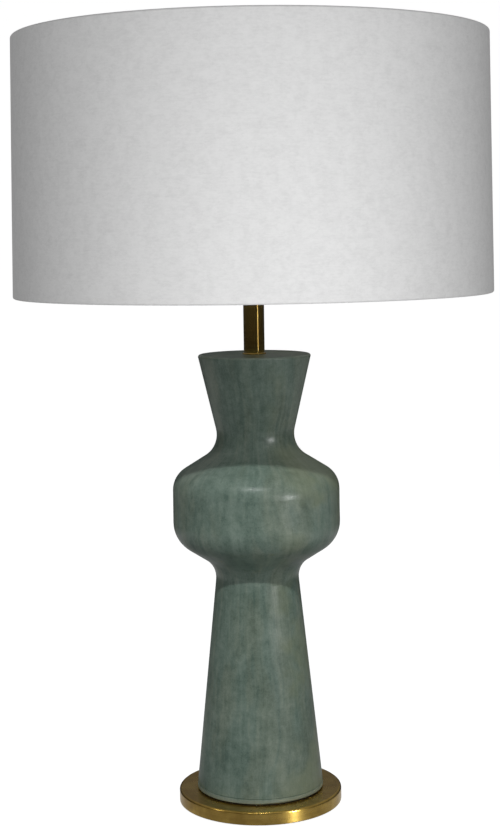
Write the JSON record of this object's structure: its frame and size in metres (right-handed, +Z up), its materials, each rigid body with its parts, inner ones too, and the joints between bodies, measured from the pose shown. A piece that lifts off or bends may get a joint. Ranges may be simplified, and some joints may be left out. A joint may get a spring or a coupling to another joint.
{
  "type": "table lamp",
  "caption": "Table lamp: turned ceramic totem body on a brass disc, brass neck, switched lampholder and a wide fabric drum shade on a wire frame.",
  "frame": {"origin": "centre of the felt's underside, on the surface that the lamp stands on", "axes": "+Z up along the lamp's axis; -Y is the front, as pictured; +Y is the back, where the cord enters; +X is to the right seen from the front"},
  "size_m": [0.45, 0.45, 0.7299],
  "materials": {
    "antique_brass": "satin antique brass, lacquered",
    "sage_glaze": "satin grey-green glaze with faint vertical runs",
    "shade_fabric": "plain woven pale grey fabric on a stiff liner",
    "shade_wire": "off-white enamelled steel wire",
    "opal_glass": "white opal glass",
    "cap_aluminium": "bright",
    "vitrite": "black glass",
    "moulded_insulator": "moulded black thermoset",
    "switch_plastic": "polished black plastic",
    "contact_brass": "bright, bare",
    "zinc_steel": "zinc plated",
    "black_rubber": "matte",
    "black_plastic": "moulded",
    "felt": "black felt"
  },
  "bodies": {
    "root": {"base_plate": "antique_brass", "base_felt": "felt", "cord_bush": "black_plastic", "rod_washer": "zinc_steel", "rod_lock_washer": "zinc_steel", "rod_nut": "zinc_steel", "threaded_rod": "zinc_steel", "foot_gasket": "black_rubber", "ceramic_body": "sage_glaze", "neck_seat": "antique_brass", "neck_tube": "antique_brass", "holder_cap": "antique_brass", "cap_lock_screw": "zinc_steel", "holder_shell": "antique_brass", "holder_core": "moulded_insulator", "terminal_screws": "contact_brass", "screw_shell": "contact_brass", "centre_contact": "contact_brass", "contact_leaves": "contact_brass"},
    "switch": {"switch_bar": "switch_plastic", "bridge_contact": "contact_brass"},
    "bulb_foot": {"bulb_tip": "cap_aluminium"},
    "bulb": {"bulb_insulator": "vitrite", "bulb_cap": "cap_aluminium", "bulb_glass": "opal_glass"},
    "shade": {"shade_cover": "shade_fabric", "shade_bottom_ring": "shade_wire", "shade_top_ring": "shade_wire", "shade_carrier": "shade_wire", "shade_spoke_1": "shade_wire", "shade_spoke_2": "shade_wire", "shade_spoke_3": "shade_wire"},
    "shade_clamp": {"shade_ring_nut": "antique_brass"}
  },
  "joints": [
    {"name": "switch_push", "type": "slide", "parent": "root", "child": "switch", "axis": [1, 0, 0], "range_m": [0, 0.006]},
    {"name": "bulb_rise", "type": "slide", "parent": "root", "child": "bulb_foot", "axis": [0, 0, 1], "range_m": [0, 0.01815]},
    {"name": "bulb_turn", "type": "hinge", "parent": "bulb_foot", "child": "bulb", "pos_m": [0, 0, 0.54], "axis": [0, 0, 1], "range_deg": [0, 1800]},
    {"name": "shade_turn", "type": "hinge", "parent": "root", "child": "shade", "pos_m": [0, 0, 0.527], "axis": [0, 0, 1], "continuous": true},
    {"name": "shade_ring_turn", "type": "hinge", "parent": "root", "child": "shade_clamp", "pos_m": [0, 0, 0.53], "axis": [0, 0, 1], "range_deg": [0, 90]}
  ],
  "couplings": [
    {"joint": "bulb_rise", "follows": "bulb_turn", "m_per_rad": 0.00057757}
  ]
}
